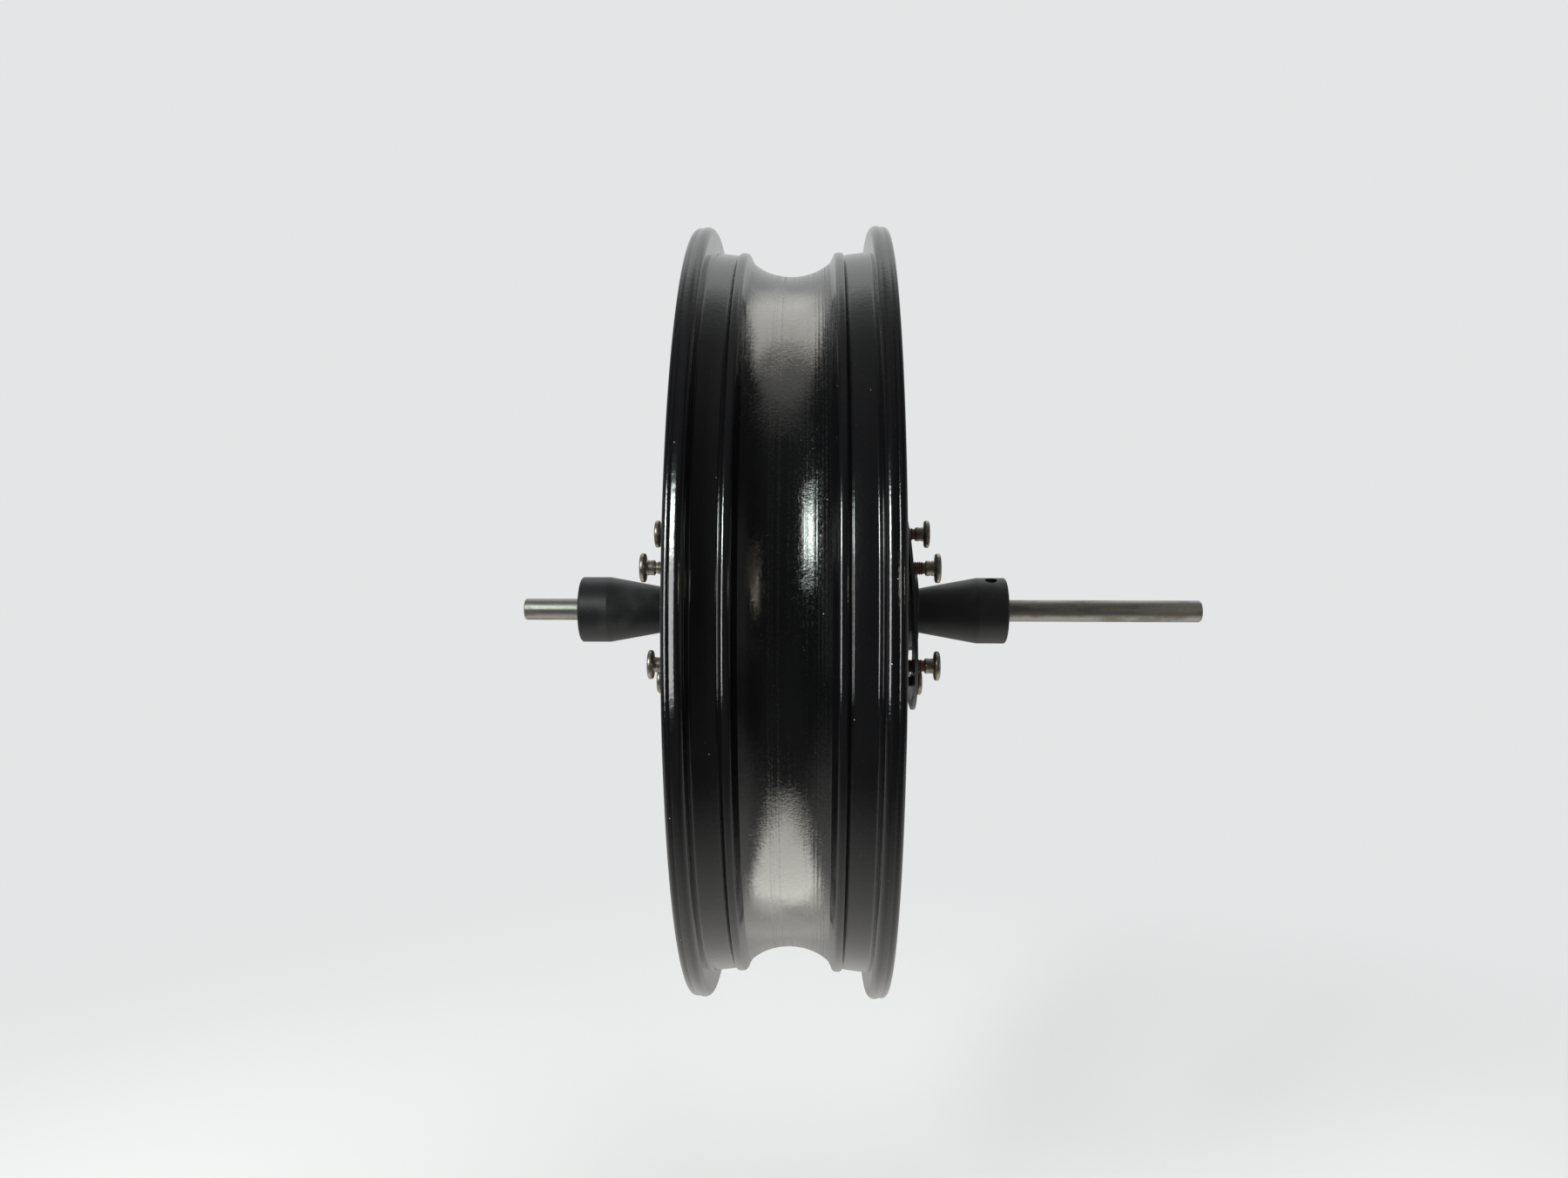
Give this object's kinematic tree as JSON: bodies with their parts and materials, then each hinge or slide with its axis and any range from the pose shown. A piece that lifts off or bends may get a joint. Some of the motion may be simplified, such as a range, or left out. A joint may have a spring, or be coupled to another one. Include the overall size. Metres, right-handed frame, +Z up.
{
  "type": "front wheel and hub assembly on a balancing arbor",
  "caption": "Bare black cast front wheel with hub, bearings, loosely started disc bolts and a sensor ring, centred on a plain arbor by two sliding cones.",
  "frame": {"origin": "the wheel's centre, on the axle at the middle of the rim's width", "axes": "+Y along the axle towards the arbor's long end and the sensor ring, +Z up, +X towards the front"},
  "size_m": [0.4662, 0.4256, 0.4662],
  "materials": {
    "ground_steel": "ground and worn",
    "bearing_steel": "ground",
    "spacer_aluminium": "turned",
    "gloss_black_paint": "gloss black over a turned aluminium casting",
    "shield_steel": "satin",
    "seal_rubber": "matt",
    "sensor_black": "satin black",
    "ball_steel": "polished",
    "cage_brass": "pressed",
    "cone_black": "black oxide, satin",
    "screw_black": "black oxide",
    "bolt_steel": "plated, worn"
  },
  "bodies": {
    "arbor": {"arbor_shaft": "ground_steel", "bearing_inner_race_left": "bearing_steel", "bearing_inner_race_right": "bearing_steel", "bearing_spacer": "spacer_aluminium"},
    "wheel": {"rim": "gloss_black_paint", "spokes": "gloss_black_paint", "hub": "gloss_black_paint", "bearing_outer_race_left": "bearing_steel", "bearing_outer_race_right": "bearing_steel", "bearing_shields_left": "shield_steel", "bearing_shields_right": "shield_steel", "dust_seal_left": "seal_rubber", "dust_seal_right": "seal_rubber", "sensor_ring": "sensor_black"},
    "ball_set_left": {"bearing_balls_left": "ball_steel", "bearing_cage_left": "cage_brass"},
    "ball_set_right": {"bearing_balls_right": "ball_steel", "bearing_cage_right": "cage_brass"},
    "cone_left": {"centring_cone_left": "cone_black"},
    "cone_right": {"centring_cone_right": "cone_black"},
    "cone_screw_left": {"set_screw_left": "screw_black"},
    "cone_screw_right": {"set_screw_right": "screw_black"},
    "disc_bolt_left_1": {"disc_bolt_left_1": "bolt_steel"},
    "disc_bolt_left_2": {"disc_bolt_left_2": "bolt_steel"},
    "disc_bolt_left_3": {"disc_bolt_left_3": "bolt_steel"},
    "disc_bolt_left_4": {"disc_bolt_left_4": "bolt_steel"},
    "disc_bolt_left_5": {"disc_bolt_left_5": "bolt_steel"},
    "disc_bolt_right_1": {"disc_bolt_right_1": "bolt_steel"},
    "disc_bolt_right_2": {"disc_bolt_right_2": "bolt_steel"},
    "disc_bolt_right_3": {"disc_bolt_right_3": "bolt_steel"},
    "disc_bolt_right_4": {"disc_bolt_right_4": "bolt_steel"},
    "disc_bolt_right_5": {"disc_bolt_right_5": "bolt_steel"}
  },
  "joints": [
    {"name": "wheel_spin", "type": "hinge", "parent": "arbor", "child": "wheel", "pos_m": [0, 0, 0], "axis": [0, 1, 0], "continuous": true},
    {"name": "ball_set_left_roll", "type": "hinge", "parent": "arbor", "child": "ball_set_left", "pos_m": [0, 0, 0], "axis": [0, 1, 0], "continuous": true},
    {"name": "ball_set_right_roll", "type": "hinge", "parent": "arbor", "child": "ball_set_right", "pos_m": [0, 0, 0], "axis": [0, 1, 0], "continuous": true},
    {"name": "cone_left_slide", "type": "slide", "parent": "arbor", "child": "cone_left", "axis": [0, -1, 0], "range_m": [0, 0.036]},
    {"name": "cone_right_slide", "type": "slide", "parent": "arbor", "child": "cone_right", "axis": [0, 1, 0], "range_m": [0, 0.12]},
    {"name": "cone_screw_left_travel", "type": "slide", "parent": "cone_left", "child": "cone_screw_left", "axis": [-0.4695, 0, 0.8829], "range_m": [0, 0.005]},
    {"name": "cone_screw_right_travel", "type": "slide", "parent": "cone_right", "child": "cone_screw_right", "axis": [0.3584, 0, 0.9336], "range_m": [0, 0.005]},
    {"name": "disc_bolt_left_1_run_in", "type": "slide", "parent": "wheel", "child": "disc_bolt_left_1", "axis": [0, 1, 0], "range_m": [0, 0.0131]},
    {"name": "disc_bolt_left_2_run_in", "type": "slide", "parent": "wheel", "child": "disc_bolt_left_2", "axis": [0, 1, 0], "range_m": [0, 0.0113]},
    {"name": "disc_bolt_left_3_run_in", "type": "slide", "parent": "wheel", "child": "disc_bolt_left_3", "axis": [0, 1, 0], "range_m": [0, 0.0114]},
    {"name": "disc_bolt_left_4_run_in", "type": "slide", "parent": "wheel", "child": "disc_bolt_left_4", "axis": [0, 1, 0], "range_m": [0, 0.0104]},
    {"name": "disc_bolt_left_5_run_in", "type": "slide", "parent": "wheel", "child": "disc_bolt_left_5", "axis": [0, 1, 0], "range_m": [0, 0.009]},
    {"name": "disc_bolt_right_1_run_in", "type": "slide", "parent": "wheel", "child": "disc_bolt_right_1", "axis": [0, -1, 0], "range_m": [0, 0.0113]},
    {"name": "disc_bolt_right_2_run_in", "type": "slide", "parent": "wheel", "child": "disc_bolt_right_2", "axis": [0, -1, 0], "range_m": [0, 0.0097]},
    {"name": "disc_bolt_right_3_run_in", "type": "slide", "parent": "wheel", "child": "disc_bolt_right_3", "axis": [0, -1, 0], "range_m": [0, 0.0094]},
    {"name": "disc_bolt_right_4_run_in", "type": "slide", "parent": "wheel", "child": "disc_bolt_right_4", "axis": [0, -1, 0], "range_m": [0, 0.0037]},
    {"name": "disc_bolt_right_5_run_in", "type": "slide", "parent": "wheel", "child": "disc_bolt_right_5", "axis": [0, -1, 0], "range_m": [0, 0.0101]}
  ],
  "couplings": [
    {"joint": "ball_set_left_roll", "follows": "wheel_spin", "ratio": 0.571},
    {"joint": "ball_set_right_roll", "follows": "wheel_spin", "ratio": 0.571}
  ]
}
